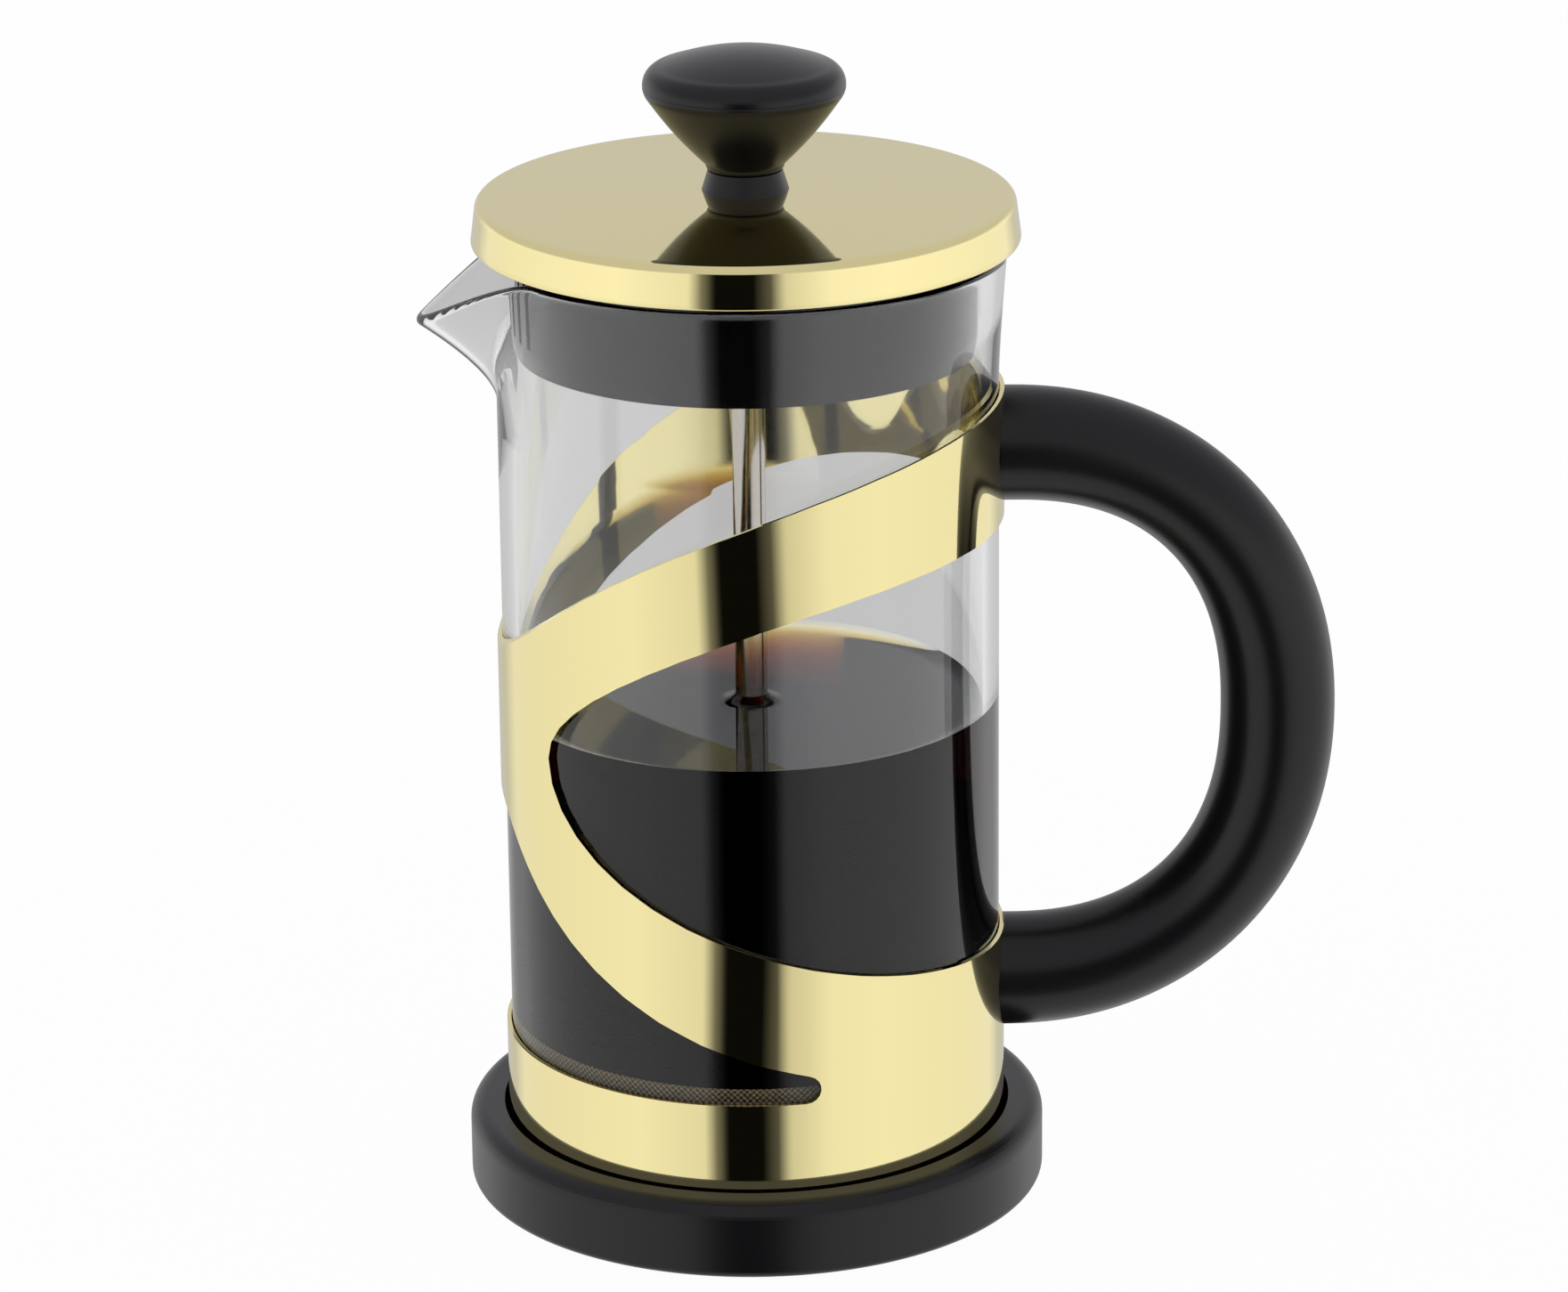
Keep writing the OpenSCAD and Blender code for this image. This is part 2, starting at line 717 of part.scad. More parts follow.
// Upper plate: pressed disc whose turned-up edge holds the coil in place
module spiral_plate() {
    color(STEEL)
    difference() {
        translate([0, 0, spiral_plate_z])
            rotate_extrude()
                polygon([
                    [rod_r + 0.1, 0], [spiral_plate_r, 0], [spiral_plate_r, coil_r],
                    [spiral_plate_r - plate_t, coil_r], [spiral_plate_r - plate_t, plate_t],
                    [rod_r + 0.1, plate_t]
                ]);
        hole_ring(6, spiral_plate_r * 0.5, spiral_plate_r * 0.13, spiral_plate_z);
        hole_ring(6, spiral_plate_r * 0.76, spiral_plate_r * 0.12, spiral_plate_z, 30);
    }
}

// Envelope of the spring wire coiled around the filter's edge
module coil_spring() {
    color(STEEL)
    translate([0, 0, spiral_plate_z + coil_r])
        rotate_extrude()
            translate([coil_ring_r, 0])
                circle(r = coil_r, $fn = 48);
}

// Fine mesh with its edge turned up between the coil and the glass
module filter_mesh() {
    color(STEEL)
    translate([0, 0, mesh_z])
        rotate_extrude()
            polygon([
                [rod_r + 0.1, 0], [mesh_r - 0.8, 0], [mesh_r, 0.8], [mesh_r, mesh_rim_h],
                [mesh_r - mesh_t, mesh_rim_h], [mesh_r - mesh_t, 0.92], [mesh_r - 0.92, mesh_t],
                [rod_r + 0.1, mesh_t]
            ]);
}

// Lower plate: perforated disc that holds the mesh from below
module cross_plate() {
    color(STEEL)
    difference() {
        translate([0, 0, cross_plate_z])
            rotate_extrude()
                translate([rod_r + 0.1, 0])
                    square([cross_plate_r - rod_r - 0.1, plate_t]);
        hole_ring(8, cross_plate_r * 0.36, cross_plate_r * 0.09, cross_plate_z);
        hole_ring(12, cross_plate_r * 0.6, cross_plate_r * 0.1, cross_plate_z, 15);
        hole_ring(16, cross_plate_r * 0.84, cross_plate_r * 0.1, cross_plate_z);
    }
}

// Nut on the rod's lower end, with a hexagonal foot
module hub_nut() {
    color(STEEL)
    translate([0, 0, hub_nut_z])
        difference() {
            union() {
                cylinder(d = hub_nut_d * 0.86, h = hub_nut_h, $fn = 6);
                translate([0, 0, hub_nut_h - 1]) cylinder(d = hub_nut_d, h = 1);
            }
            translate([0, 0, -1]) cylinder(r = rod_r, h = hub_nut_h + 2);
        }
}

grip_pad();
base();
base_screws();
frame();
handle();
handle_screw(handle_top_z);  // upper_handle_screw
handle_screw(handle_low_z);  // lower_handle_screw
handle_insert(handle_top_z);  // upper_handle_insert
handle_insert(handle_low_z);  // lower_handle_insert
glass_beaker();
lid_shell();
lid_liner();
lid_collar();
lid_nut();
plunger_rod();
knob();
knob_insert();
spiral_plate();
coil_spring();
filter_mesh();
cross_plate();
hub_nut();
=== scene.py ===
"""French press: the visual model, dressed around the CAD parts.

It is laid out as a Blender add-on and run as a script. Each operator makes one piece, or one
group of like pieces, in metres and in the CAD model's own frame: +Z up, +X to the handle,
-X to the spout, the origin on the table on the beaker's axis.
"""

import math

import bpy
from bpy.props import FloatProperty, FloatVectorProperty, PointerProperty
from mathutils import Matrix, Vector


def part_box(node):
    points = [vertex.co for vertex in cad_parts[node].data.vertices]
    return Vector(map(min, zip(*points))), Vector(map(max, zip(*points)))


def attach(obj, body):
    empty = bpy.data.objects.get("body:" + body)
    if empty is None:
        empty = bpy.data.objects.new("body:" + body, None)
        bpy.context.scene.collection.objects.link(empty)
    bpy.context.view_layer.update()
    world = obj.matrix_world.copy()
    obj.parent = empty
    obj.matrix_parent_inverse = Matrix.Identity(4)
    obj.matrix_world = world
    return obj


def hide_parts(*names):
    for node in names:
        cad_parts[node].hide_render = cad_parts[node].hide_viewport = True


bl_info = {
    "name": "French press",
    "version": (1, 0, 0),
    "blender": (4, 5, 0),
    "location": "3D View > Sidebar > French press",
    "description": "Dresses the CAD model of a glass french press with its visible pieces",
    "category": "Object",
}

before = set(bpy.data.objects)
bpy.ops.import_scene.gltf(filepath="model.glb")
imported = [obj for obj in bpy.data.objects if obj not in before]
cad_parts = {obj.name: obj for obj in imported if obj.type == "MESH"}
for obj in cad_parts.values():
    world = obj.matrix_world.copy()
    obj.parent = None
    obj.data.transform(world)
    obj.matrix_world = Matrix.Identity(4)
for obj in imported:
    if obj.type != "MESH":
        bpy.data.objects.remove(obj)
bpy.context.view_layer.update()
boxes = {node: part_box(node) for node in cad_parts}

MM = 0.001


def low(node, axis):
    """Lowest coordinate of a CAD node along an axis (0 to 2), in metres."""
    return boxes[node][0][axis]


def high(node, axis):
    """Highest coordinate of a CAD node along an axis (0 to 2), in metres."""
    return boxes[node][1][axis]


def linear(code):
    """An sRGB hex colour as linear red, green and blue."""
    parts = [int(code[i : i + 2], 16) / 255 for i in (1, 3, 5)]
    return tuple(c / 12.92 if c <= 0.04045 else ((c + 0.055) / 1.055) ** 2.4 for c in parts)


def size(name, description, millimetres):
    """A length property, given in millimetres and kept in metres."""
    return FloatProperty(
        name=name, description=description, default=millimetres * MM, unit="LENGTH", precision=5
    )


def colour(name, description, code):
    """A colour property, given as an sRGB hex code and kept linear."""
    return FloatVectorProperty(
        name=name, description=description, default=linear(code), subtype="COLOR", size=3, min=0, max=1
    )


# ---------------------------------------------------------------- sizes and colours


class BeakerSizes(bpy.types.PropertyGroup):
    """Sizes of the glass beaker and what is in it."""

    wall: size("Wall", "Thickness of the glass", 2.3)
    play: size("Play", "Gap between the glass and the stand", 0.17)
    corner: size("Foot corner", "Radius of the round corner at the beaker's foot", 7)
    flare_height: size("Flare height", "Height over which the wall flares to the rim", 22)
    spout_height: size("Spout height", "Height from the spout's foot to the rim", 25)
    spout_drop: size("Spout drop", "Height from the spout's tip up to the rim", 10.5)
    rim_drop: size("Rim drop", "How far the rim stands below the CAD beaker's top", 2.4)
    lip: size("Lip", "Thickness of the glass at the rim", 1.7)
    fill: size("Fill", "Height of the coffee's surface above the table", 75.0)
    rod: size("Rod", "Diameter of the plunger's rod, which stands in the coffee", 4.8)


class StandSizes(bpy.types.PropertyGroup):
    """Sizes of the pierced sheet-metal stand."""

    sheet: size("Sheet", "Thickness of the sheet", 0.6)


class LidSizes(bpy.types.PropertyGroup):
    """Sizes of the lid's shell."""

    sheet: size("Sheet", "Thickness of the sheet", 0.5)
    taper: size("Taper", "How much wider the lower edge is than the shoulder, on the radius", 0.6)
    corner: size("Corner", "Radius of the corner between top and side", 1.2)
    crown: size("Crown", "Height of the middle above the corner", 1.05)


class HandleSizes(bpy.types.PropertyGroup):
    """Sizes of the handle."""

    thickness: size("Thickness", "Diameter of the handle", 16.8)
    straight: size("Arms", "From the axis to where the arms start to bend", 38)
    waist: FloatProperty(name="Waist", description="Share by which the bends are thinner", default=0.06)
    fullness: FloatProperty(
        name="Fullness", description="Roundness of the bend: 2 is an ellipse, more is squarer", default=2.2
    )


class Finishes(bpy.types.PropertyGroup):
    """Colours of the finishes."""

    gold: colour("Gold plating", "Reflection of the gold-coloured plating", "#F2E5A9")
    black: colour("Black plastic", "Matt black moulded plastic", "#0D0D10")
    gloss: colour("Liner plastic", "Smooth black moulded plastic", "#0C0C0D")
    steel: colour("Stainless steel", "Reflection of polished stainless steel", "#C9C4BC")
    brass: colour("Brass", "Reflection of turned brass", "#D9B36B")
    rubber: colour("Pad rubber", "Matt rubber of the pad", "#2A2A2C")


class StageSettings(bpy.types.PropertyGroup):
    """Camera, floor and surroundings."""

    distance: size("Camera distance", "From the axis to the camera, level", 892.4)
    height: size("Camera height", "Height of the camera above the table", 388.8)
    lens: FloatProperty(name="Lens", description="Focal length in mm on a 36 mm sensor", default=147.3)
    pitch: FloatProperty(
        name="Pitch", description="Angle below the level", default=math.radians(18.923), subtype="ANGLE"
    )
    pan: FloatProperty(
        name="Pan", description="Turn to the right", default=math.radians(0.311), subtype="ANGLE"
    )
    roll: FloatProperty(name="Roll", description="Tilt", default=math.radians(-0.611), subtype="ANGLE")
    backdrop: FloatProperty(
        name="Backdrop", description="Brightness of the grey backdrop behind", default=0.57, min=0, max=1
    )
    panels: FloatProperty(
        name="Panels", description="Brightness of the white panels at the sides", default=1.0, min=0, max=1.5
    )


# ---------------------------------------------------------------- materials


def add_node(tree, kind, inputs=(), **settings):
    """Adds a node; each input gets a value, or a link when it is given another node's output."""
    node = tree.nodes.new(kind)
    for key, value in settings.items():
        setattr(node, key, value)
    for socket, value in dict(inputs).items():
        if isinstance(value, bpy.types.NodeSocket):
            tree.links.new(value, node.inputs[socket])
        else:
            node.inputs[socket].default_value = value
    return node


def start_material(name, inputs):
    """A material with one Principled shader set to these values, and the tree to add to."""
    material = bpy.data.materials.new(name)
    material.use_nodes = True
    tree = material.node_tree
    shader = tree.nodes["Principled BSDF"]
    for socket, value in inputs.items():
        shader.inputs[socket].default_value = value
    return material, tree, shader


# How strongly light bends from air into the glass and into the coffee
GLASS_INDEX = 1.473
COFFEE_INDEX = 1.33


def rgba(value):
    """A colour property as four numbers."""
    return (*value, 1.0)


def gold_plated_steel():
    """Stainless sheet, polished and then plated a pale gold: a mirror with a faint haze in patches.

    The sheet is rolled and buffed round the press, which leaves very shallow lines about 0.4 mm
    apart around it. They soften a reflection a little without breaking it. The haze comes and goes
    over about 20 mm.
    """
    line_spacing = 0.4 * MM
    material, tree, shader = start_material(
        "polished gold-plated steel",
        {"Base Color": rgba(bpy.context.scene.press_finishes.gold), "Metallic": 1.0, "Roughness": 0.07},
    )
    place = add_node(tree, "ShaderNodeTexCoord").outputs["Object"]
    lines = add_node(tree, "ShaderNodeMapping", {"Vector": place, "Scale": (60, 60, 1 / line_spacing)})
    buffing = add_node(tree, "ShaderNodeTexNoise", {"Vector": lines.outputs[0], "Scale": 1.0, "Detail": 2.0})
    haze = add_node(tree, "ShaderNodeTexNoise", {"Vector": place, "Scale": 45.0, "Detail": 3.0})
    mixed = add_node(
        tree,
        "ShaderNodeMath",
        {0: buffing.outputs["Fac"], 1: haze.outputs["Fac"]},
        operation="MULTIPLY",
    )
    rough = add_node(
        tree,
        "ShaderNodeMapRange",
        {"Value": mixed.outputs[0], "From Min": 0.1, "From Max": 0.45, "To Min": 0.02, "To Max": 0.06},
    )
    bump = add_node(
        tree, "ShaderNodeBump", {"Height": buffing.outputs["Fac"], "Strength": 0.02, "Distance": 0.00002}
    )
    tree.links.new(rough.outputs[0], shader.inputs["Roughness"])
    tree.links.new(bump.outputs[0], shader.inputs["Normal"])
    return material


def grained_plastic(name, value, roughness, grain_mm, depth_mm, gloss=0.36):
    """Moulded plastic whose mould was spark-eroded: an even, fine, rounded grain that kills glare.

    The grain also traps some of the light, so its gloss is weaker than a smooth plastic's. How rough
    it is varies by a twentieth over about 30 mm, as handling leaves it.
    """
    material, tree, shader = start_material(
        name,
        {"Base Color": rgba(value), "IOR": 1.5, "Roughness": roughness, "Specular IOR Level": gloss},
    )
    place = add_node(tree, "ShaderNodeTexCoord").outputs["Object"]
    grain = add_node(
        tree, "ShaderNodeTexNoise", {"Vector": place, "Scale": 1 / (grain_mm * MM), "Detail": 2.0}
    )
    bump = add_node(
        tree, "ShaderNodeBump", {"Height": grain.outputs["Fac"], "Strength": 0.5, "Distance": depth_mm * MM}
    )
    patches = add_node(tree, "ShaderNodeTexNoise", {"Vector": place, "Scale": 30.0, "Detail": 2.0})
    rough = add_node(
        tree,
        "ShaderNodeMapRange",
        {"Value": patches.outputs["Fac"], "To Min": roughness - 0.05, "To Max": roughness + 0.05},
    )
    tree.links.new(rough.outputs[0], shader.inputs["Roughness"])
    tree.links.new(bump.outputs[0], shader.inputs["Normal"])
    return material


def polished_steel():
    """Stainless steel, drawn and polished: bright, with fine lines 0.4 mm apart along the draw."""
    line_spacing = 0.4 * MM
    material, tree, shader = start_material(
        "polished stainless steel",
        {"Base Color": rgba(bpy.context.scene.press_finishes.steel), "Metallic": 1.0, "Roughness": 0.12},
    )
    place = add_node(tree, "ShaderNodeTexCoord").outputs["Object"]
    scale = (1 / line_spacing, 1 / line_spacing, 40)
    lines = add_node(tree, "ShaderNodeMapping", {"Vector": place, "Scale": scale})
    drawn = add_node(tree, "ShaderNodeTexNoise", {"Vector": lines.outputs[0], "Scale": 1.0, "Detail": 2.0})
    rough = add_node(
        tree, "ShaderNodeMapRange", {"Value": drawn.outputs["Fac"], "To Min": 0.07, "To Max": 0.2}
    )
    tree.links.new(rough.outputs[0], shader.inputs["Roughness"])
    return material


def turned_brass():
    """Brass turned on a lathe and left as it came off: fine tool marks about 0.2 mm apart."""
    mark_spacing = 0.2 * MM
    material, tree, shader = start_material(
        "turned brass",
        {"Base Color": rgba(bpy.context.scene.press_finishes.brass), "Metallic": 1.0, "Roughness": 0.28},
    )
    place = add_node(tree, "ShaderNodeTexCoord").outputs["Object"]
    marks = add_node(tree, "ShaderNodeTexNoise", {"Vector": place, "Scale": 1 / mark_spacing, "Detail": 1.0})
    bump = add_node(
        tree, "ShaderNodeBump", {"Height": marks.outputs["Fac"], "Strength": 0.3, "Distance": 0.00002}
    )
    tree.links.new(bump.outputs[0], shader.inputs["Normal"])
    return material


def matt_black_plastic():
    """Matt black polypropylene, moulded with a grain of 0.35 mm: dark, with broad soft highlights."""
    black = bpy.context.scene.press_finishes.black
    return grained_plastic("matt black polypropylene", black, 0.28, 0.35, 0.01)


def bend_light(tree, shader, dry, touching):
    """Bends the light by the dry index, but by the touching one on faces marked wet.

    Glass and coffee touch there with no air between, so only the ratio of their indices counts."""
    wet = add_node(tree, "ShaderNodeAttribute", attribute_name="wet")
    index = add_node(
        tree, "ShaderNodeMapRange", {"Value": wet.outputs["Fac"], "To Min": dry, "To Max": touching}
    )
    tree.links.new(index.outputs[0], shader.inputs["IOR"])


def mark_wet(mesh, test):
    """Marks each face of a mesh as wet (1) or dry (0) by a test of its centre."""
    mark = mesh.attributes.new("wet", "FLOAT", "FACE")
    for polygon in mesh.polygons:
        mark.data[polygon.index].value = 1.0 if test(polygon.center) else 0.0


def borosilicate_glass():
    """Borosilicate glass, blown in a mould and fire-polished: clear, with a faint grey-green in the
    depth of its edges and a slow waviness, a few hundredths of a millimetre, over about 12 mm."""
    wave_width = 12 * MM
    material, tree, shader = start_material(
        "borosilicate glass",
        {"Base Color": (1, 1, 1, 1), "Roughness": 0.0, "IOR": GLASS_INDEX, "Transmission Weight": 1.0},
    )
    place = add_node(tree, "ShaderNodeTexCoord").outputs["Object"]
    waves = add_node(tree, "ShaderNodeTexNoise", {"Vector": place, "Scale": 1 / wave_width, "Detail": 1.0})
    bump = add_node(
        tree, "ShaderNodeBump", {"Height": waves.outputs["Fac"], "Strength": 0.05, "Distance": 0.00004}
    )
    tree.links.new(bump.outputs[0], shader.inputs["Normal"])
    depth = add_node(tree, "ShaderNodeVolumeAbsorption", {"Color": (*linear("#9DB8AC"), 1), "Density": 12.0})
    tree.links.new(depth.outputs[0], tree.nodes["Material Output"].inputs["Volume"])
    bend_light(tree, shader, GLASS_INDEX, GLASS_INDEX / COFFEE_INDEX)
    return material


def brewed_coffee():
    """Brewed coffee: clear but deeply coloured, amber through a millimetre or two and black beyond."""
    material, tree, shader = start_material(
        "brewed coffee",
        {"Base Color": (1, 1, 1, 1), "Roughness": 0.0, "IOR": COFFEE_INDEX, "Transmission Weight": 1.0},
    )
    bend_light(tree, shader, COFFEE_INDEX, 1.0)
    depth = add_node(tree, "ShaderNodeVolumeAbsorption", {"Color": (0.8, 0.62, 0.0, 1), "Density": 500.0})
    tree.links.new(depth.outputs[0], tree.nodes["Material Output"].inputs["Volume"])
    return material


def woven_mesh():
    """Plain-woven stainless wire. The real threads are about 0.2 mm apart; here they are drawn
    0.9 mm apart, the closest that still shows from the camera's place. Its colour is painted light and shade:
    dark in the hollows between the threads, pale on their crests."""
    pitch = 0.9 * MM
    radius = high("filter_mesh", 0)
    material, tree, shader = start_material(
        "woven stainless mesh",
        {"Base Color": (*linear("#8E867A"), 1), "Metallic": 1.0, "Roughness": 0.55},
    )
    place = add_node(tree, "ShaderNodeTexCoord").outputs["Object"]
    axes = add_node(tree, "ShaderNodeSeparateXYZ", {0: place})
    angle = add_node(
        tree, "ShaderNodeMath", {0: axes.outputs[1], 1: axes.outputs[0]}, operation="ARCTAN2"
    )
    around = add_node(tree, "ShaderNodeMath", {0: angle.outputs[0], 1: radius}, operation="MULTIPLY")
    waves = []
    for along in (around.outputs[0], axes.outputs[2]):
        phase = add_node(tree, "ShaderNodeMath", {0: along, 1: 2 * math.pi / pitch}, operation="MULTIPLY")
        waves.append(add_node(tree, "ShaderNodeMath", {0: phase.outputs[0]}, operation="SINE").outputs[0])
    weave = add_node(tree, "ShaderNodeMath", {0: waves[0], 1: waves[1]}, operation="MULTIPLY")
    # The colour runs from dark in the weave's hollows to pale on the threads' crests: painted shade and
    # painted highlight, as the wire itself is of one steel colour
    painted_light_share = add_node(
        tree,
        "ShaderNodeMapRange",
        {"Value": weave.outputs[0], "From Min": -1.0, "To Min": 0.35, "To Max": 1.0},
    )
    painted_light_and_shade = add_node(
        tree,
        "ShaderNodeMix",
        {"Factor": painted_light_share.outputs[0], "A": (*linear("#26221D"), 1), "B": (*linear("#C9BFAE"), 1)},
        data_type="RGBA",
    )
    bump = add_node(
        tree, "ShaderNodeBump", {"Height": weave.outputs[0], "Strength": 0.7, "Distance": 0.0001}
    )
    tree.links.new(painted_light_and_shade.outputs[2], shader.inputs["Base Color"])
    tree.links.new(bump.outputs[0], shader.inputs["Normal"])
    return material


# ---------------------------------------------------------------- outlines and meshes


def arc(centre, radius, start, end, steps=8):
    """Points on an arc about centre, from start to end in degrees."""
    turns = [math.radians(start + (end - start) * i / steps) for i in range(steps + 1)]
    return [(centre[0] + radius * math.cos(a), centre[1] + radius * math.sin(a)) for a in turns]


def bezier(a, b, c, d, steps):
    """Points of a cubic Bezier curve from a, led by b and c, to d."""
    points = []
    for k in range(steps + 1):
        t, s = k / steps, 1 - k / steps
        weights = (s**3, 3 * s**2 * t, 3 * s * t**2, t**3)
        points.append(tuple(sum(w * p[i] for w, p in zip(weights, (a, b, c, d))) for i in (0, 1)))
    return points


def rounded(corners, steps):
    """Outline through corners (x, y, radius), each rounded with its radius."""
    outline = []
    for i, (x, y, radius) in enumerate(corners):
        here = Vector((x, y))
        if radius <= 0 or i in (0, len(corners) - 1):
            outline.append((x, y))
            continue
        back = (Vector(corners[i - 1][:2]) - here).normalized()
        ahead = (Vector(corners[i + 1][:2]) - here).normalized()
        half = back.angle(ahead) / 2
        centre = here + (back + ahead).normalized() * (radius / math.sin(half))
        start = here + back * (radius / math.tan(half)) - centre
        end = here + ahead * (radius / math.tan(half)) - centre
        turn = math.atan2(start.cross(end), start.dot(end))
        for k in range(steps + 1):
            outline.append(tuple(centre + Matrix.Rotation(turn * k / steps, 2) @ start))
    return outline


def make_piece(name, vertices, faces, material, body, replaces=(), slot=None, sharp=35):
    """A smooth-shaded mesh object that rides on a CAD body."""
    mesh = bpy.data.meshes.new(name)
    mesh.from_pydata([tuple(v) for v in vertices], [], [tuple(f) for f in faces])
    mesh.validate()
    mesh.shade_smooth()
    if sharp:
        mesh.set_sharp_from_angle(angle=math.radians(sharp))
    mesh.materials.append(material)
    piece = bpy.data.objects.new(name, mesh)
    bpy.context.scene.collection.objects.link(piece)
    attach(piece, body)
    if replaces:
        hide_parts(*replaces)
    return piece


def skin(rings, closed=False):
    """Vertices and faces of a skin over rings of points, all of one length. A ring may be one point."""
    count = max(len(ring) for ring in rings)
    vertices, numbers = [], []
    for ring in rings:
        first = len(vertices)
        vertices += ring
        numbers.append([first] * count if len(ring) == 1 else list(range(first, first + count)))
    faces = []
    for here, there in zip(numbers, numbers[1:] + numbers[:1] if closed else numbers[1:]):
        for i in range(count):
            j = (i + 1) % count
            face = []
            for corner in (here[i], here[j], there[j], there[i]):
                if corner not in face:
                    face.append(corner)
            if len(face) > 2:
                faces.append(face)
    return vertices, faces


def revolved(outline, steps=192):
    """Vertices and faces of an outline of (radius, height) points turned about the axis.

    An outline that starts and ends on the axis, or that closes on itself, gives a closed solid."""
    closed = tuple(outline[0]) == tuple(outline[-1])
    turns = [2 * math.pi * i / steps for i in range(steps)]
    rings = []
    for radius, height in outline[:-1] if closed else outline:
        if radius < 1e-7:
            rings.append([(0, 0, height)])
        else:
            rings.append([(radius * math.cos(a), radius * math.sin(a), height) for a in turns])
    return skin(rings, closed)


def tube(path, radii, sides, closed=False):
    """Vertices and faces of a round tube along a path, with one radius for each point."""
    path = [Vector(p) for p in path]
    count = len(path)
    ahead = []
    for i in range(count):
        before = path[i - 1] if i or closed else path[0]
        after = path[(i + 1) % count] if i < count - 1 or closed else path[-1]
        ahead.append((after - before).normalized())
    turns = [2 * math.pi * k / sides for k in range(sides)]
    side = ahead[0].orthogonal().normalized()
    rings = []
    for i, point in enumerate(path):
        if i:
            side = ahead[i - 1].rotation_difference(ahead[i]) @ side
        side = (side - ahead[i] * side.dot(ahead[i])).normalized()
        other = ahead[i].cross(side)
        rings.append([point + radii[i] * (math.cos(a) * side + math.sin(a) * other) for a in turns])
    vertices, faces = skin(rings, closed)
    if not closed:
        faces.append(tuple(reversed(range(sides))))
        faces.append(tuple(range((count - 1) * sides, count * sides)))
    return vertices, faces


def finish_node(node, material):
    """Gives a CAD node that stays in view its material."""
    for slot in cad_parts[node].material_slots:
        slot.link = "OBJECT"
        slot.material = material


# ---------------------------------------------------------------- the glass and the coffee

# Gap between the coffee and what it wets, so that the two skins never meet
WET_GAP = 0.02 * MM
# How far the coffee climbs at the glass and at the rod
GLASS_CLIMB = 1.0 * MM
ROD_CLIMB = 1.1 * MM


def straight_radius():
    """Outer radius of the beaker's straight wall, which stands just inside the stand's sheet."""
    return high("frame", 1) - bpy.context.scene.press_stand.sheet - bpy.context.scene.press_beaker.play


def beaker_inside():
    """Inner radius of the beaker's straight wall, and the height of its floor, a little thicker."""
    wall = bpy.context.scene.press_beaker.wall
    return straight_radius() - wall, low("glass_beaker", 2) + wall + 0.4 * MM


def beaker_wall(height):
    """Outer radius of the beaker's round wall at a height."""
    flare = bpy.context.scene.press_beaker.flare_height
    share = max(0.0, (height - (high("glass_beaker", 2) - flare)) / flare)
    return straight_radius() + (high("glass_beaker", 1) - straight_radius()) * share**1.35


def rim_and_shoulder():
    """Height of the rim, and of the line below the spout from which the upper wall is shaped."""
    sizes = bpy.context.scene.press_beaker
    rim = high("glass_beaker", 2) - sizes.rim_drop
    return rim, rim - sizes.spout_height - 2 * MM


def spout_bell(share):
    """How far the lip stands out, from 1 to 0, at a share of the way from the nose to the spout's end."""
    share = min(1.0, share)
    nose = 0.10
    drop = (math.hypot(share, nose) - nose) / (math.hypot(1, nose) - nose)
    return (1 - drop) ** 2.1


def upper_wall(angle, share):
    """A point of the outer wall at an angle from the spout: share 0 at the shoulder, 1 at the lip."""
    sizes = bpy.context.scene.press_beaker
    rim, shoulder = rim_and_shoulder()
    spout_half = math.radians(37)
    bead_rise = 0.9 * MM
    # The nose stays this far inside the CAD model's reach, for the bead at its tip
    tip_margin = 0.42 * MM
    from_spout = abs((angle + math.pi) % (2 * math.pi) - math.pi)
    reach = spout_bell(from_spout / spout_half)
    lip = rim - bead_rise - sizes.spout_drop * reach**0.75
    height = shoulder + (lip - shoulder) * share
    # The spout starts lower in its middle than at its ends
    start = rim + sizes.rim_drop - sizes.spout_height + 10 * MM * (1 - reach)
    rise = max(0.0, (height - start) / (lip - start)) if lip > start else 0.0
    excess = (-low("glass_beaker", 0) - tip_margin - beaker_wall(lip)) * reach
    radius = beaker_wall(height) + excess * rise**1.5
    return Vector((-radius * math.cos(angle), -radius * math.sin(angle), height))


